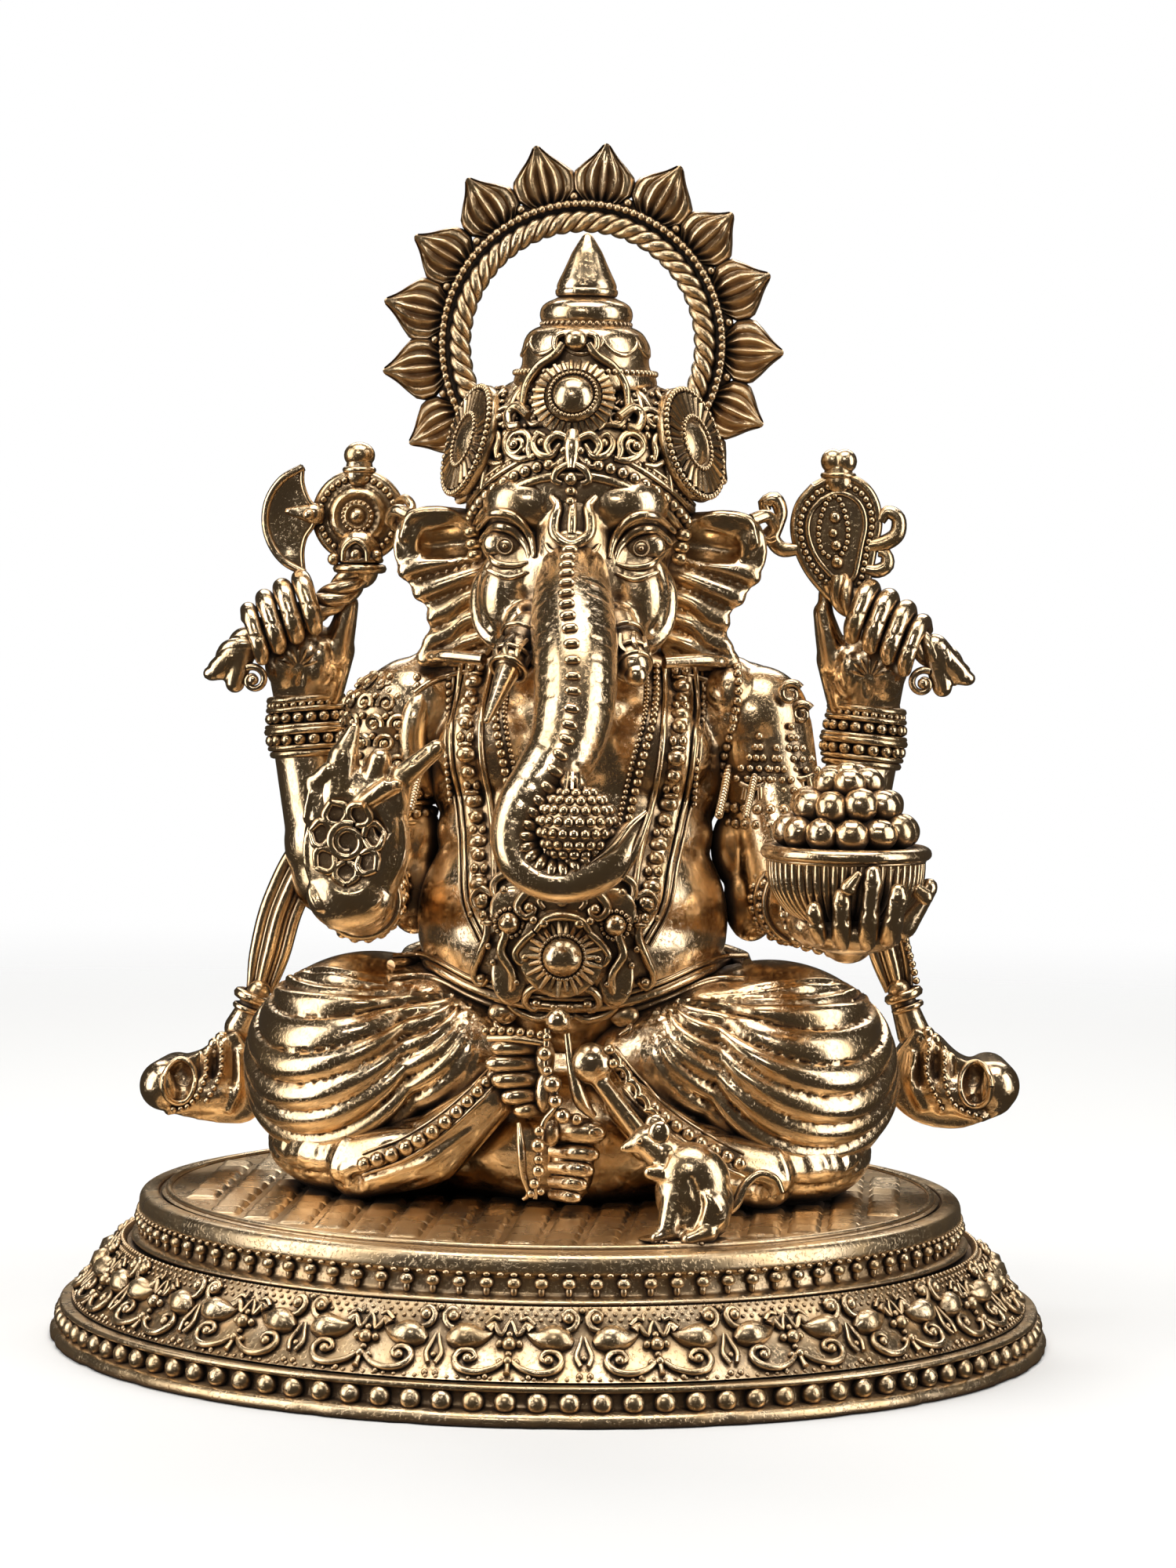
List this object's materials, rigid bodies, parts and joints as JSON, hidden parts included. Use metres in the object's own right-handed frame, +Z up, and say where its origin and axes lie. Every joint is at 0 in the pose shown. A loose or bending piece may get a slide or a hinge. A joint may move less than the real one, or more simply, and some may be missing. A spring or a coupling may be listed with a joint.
{
  "type": "deity statue",
  "caption": "Seated elephant-headed deity figure with four arms, raised palm, sweets bowl, halo and mouse on a round stepped plinth.",
  "frame": {"origin": "centre of the round plinth's underside, on the surface it stands on", "axes": "+Z up through the plinth and figure, -Y the way the figure faces, +X its left side"},
  "size_m": [0.1274, 0.1274, 0.1527],
  "materials": {
    "antique_gold": "antique gold plating, bright on the high spots and dark brown in the hollows",
    "felt": "matt black felt"
  },
  "bodies": {
    "root": {"axe_blade": "antique_gold", "axe_handle": "antique_gold", "axe_head": "antique_gold", "crown_band": "antique_gold", "crown_dome": "antique_gold", "crown_finial": "antique_gold", "crown_jewel": "antique_gold", "crown_tiers": "antique_gold", "girdle_tassel": "antique_gold", "halo_bracket": "antique_gold", "halo_petals": "antique_gold", "halo_ring": "antique_gold", "head": "antique_gold", "hips": "antique_gold", "left_armlet": "antique_gold", "left_crown_disc": "antique_gold", "left_ear": "antique_gold", "left_front_forearm": "antique_gold", "left_front_hand": "antique_gold", "left_front_upper_arm": "antique_gold", "left_garland": "antique_gold", "left_leg": "antique_gold", "left_rear_bracelet": "antique_gold", "left_rear_forearm": "antique_gold", "left_rear_hand": "antique_gold", "left_rear_upper_arm": "antique_gold", "left_scarf": "antique_gold", "left_tusk": "antique_gold", "lower_foot": "antique_gold", "mouse": "antique_gold", "noose_handle": "antique_gold", "noose_head": "antique_gold", "pendant": "antique_gold", "plinth_drum": "antique_gold", "plinth_foot": "antique_gold", "plinth_frieze": "antique_gold", "right_armlet": "antique_gold", "right_crown_disc": "antique_gold", "right_ear": "antique_gold", "right_front_forearm": "antique_gold", "right_front_hand": "antique_gold", "right_front_upper_arm": "antique_gold", "right_garland": "antique_gold", "right_leg": "antique_gold", "right_rear_bracelet": "antique_gold", "right_rear_forearm": "antique_gold", "right_rear_hand": "antique_gold", "right_rear_upper_arm": "antique_gold", "right_scarf": "antique_gold", "right_tusk": "antique_gold", "seat_mat": "antique_gold", "sweets_bowl": "antique_gold", "sweets_heap": "antique_gold", "torso": "antique_gold", "trunk": "antique_gold", "trunk_sweet": "antique_gold", "underside_felt": "felt", "upper_foot": "antique_gold", "waist_sash": "antique_gold"}
  },
  "joints": []
}
